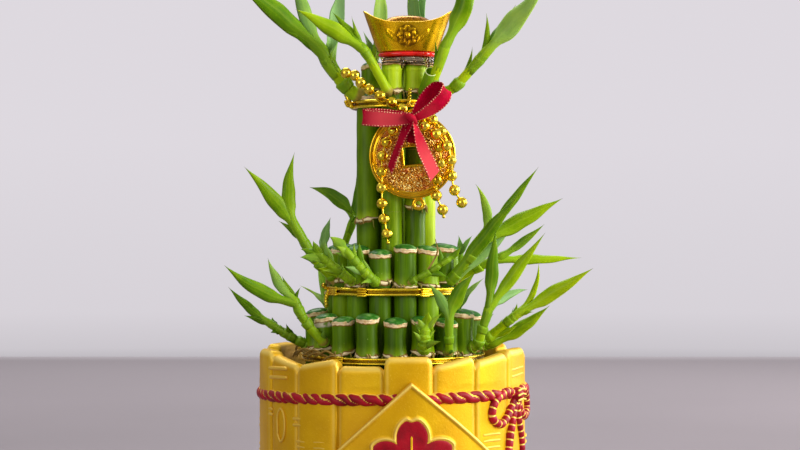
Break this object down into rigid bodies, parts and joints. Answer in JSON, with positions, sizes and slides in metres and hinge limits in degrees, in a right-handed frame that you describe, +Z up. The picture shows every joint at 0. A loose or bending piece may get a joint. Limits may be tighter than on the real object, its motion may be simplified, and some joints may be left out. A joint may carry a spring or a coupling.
{
  "type": "lucky bamboo tower in a pot",
  "caption": "Three-tier tower of cut lucky bamboo stalks with leafy shoots, tied with gold wire and hung with a coin, beads, bow and ingot, in a moulded gold pot.",
  "frame": {"origin": "centre of the pot's flat underside", "axes": "+Z up along the pot's axis, -Y towards the front with the coin and the bow"},
  "size_m": [0.1802, 0.1469, 0.3],
  "materials": {
    "pot_gold": "satin gold paint with fine sparkle and red painted relief",
    "gravel": "rounded pebbles",
    "outer_stalk_green": "glossy deep green living stalk with leaves",
    "middle_stalk_green": "glossy green living stalk with leaves",
    "inner_stalk_green": "glossy light green living stalk with leaves",
    "tie_gold": "bright gold foil wire",
    "clear_glue": "clear hot glue",
    "red_lacquer": "glossy red lacquer",
    "ingot_gold": "bright metallised gold",
    "coin_gold": "bright metallised gold with grained relief",
    "bead_gold": "mirror-bright metallised gold",
    "ribbon_red": "red satin with gold thread edges"
  },
  "bodies": {
    "root": {"bead_string": "bead_gold", "coin": "coin_gold", "glue_pad": "clear_glue", "gravel_bed": "gravel", "ingot": "ingot_gold", "ingot_base": "red_lacquer", "inner_stalk_01": "inner_stalk_green", "inner_stalk_02": "inner_stalk_green", "inner_stalk_03": "inner_stalk_green", "inner_stalk_04": "inner_stalk_green", "inner_stalk_05": "inner_stalk_green", "inner_stalk_06": "inner_stalk_green", "inner_stalk_07": "inner_stalk_green", "inner_stalk_08": "inner_stalk_green", "lower_tie": "tie_gold", "middle_stalk_01": "middle_stalk_green", "middle_stalk_02": "middle_stalk_green", "middle_stalk_03": "middle_stalk_green", "middle_stalk_04": "middle_stalk_green", "middle_stalk_05": "middle_stalk_green", "middle_stalk_06": "middle_stalk_green", "middle_stalk_07": "middle_stalk_green", "middle_stalk_08": "middle_stalk_green", "middle_stalk_09": "middle_stalk_green", "middle_stalk_10": "middle_stalk_green", "middle_stalk_11": "middle_stalk_green", "middle_stalk_12": "middle_stalk_green", "middle_stalk_13": "middle_stalk_green", "middle_stalk_14": "middle_stalk_green", "middle_tie": "tie_gold", "outer_stalk_01": "outer_stalk_green", "outer_stalk_02": "outer_stalk_green", "outer_stalk_03": "outer_stalk_green", "outer_stalk_04": "outer_stalk_green", "outer_stalk_05": "outer_stalk_green", "outer_stalk_06": "outer_stalk_green", "outer_stalk_07": "outer_stalk_green", "outer_stalk_08": "outer_stalk_green", "outer_stalk_09": "outer_stalk_green", "outer_stalk_10": "outer_stalk_green", "outer_stalk_11": "outer_stalk_green", "outer_stalk_12": "outer_stalk_green", "outer_stalk_13": "outer_stalk_green", "outer_stalk_14": "outer_stalk_green", "outer_stalk_15": "outer_stalk_green", "outer_stalk_16": "outer_stalk_green", "outer_stalk_17": "outer_stalk_green", "outer_stalk_18": "outer_stalk_green", "pot": "pot_gold", "ribbon": "ribbon_red", "top_tie": "tie_gold"}
  },
  "joints": []
}
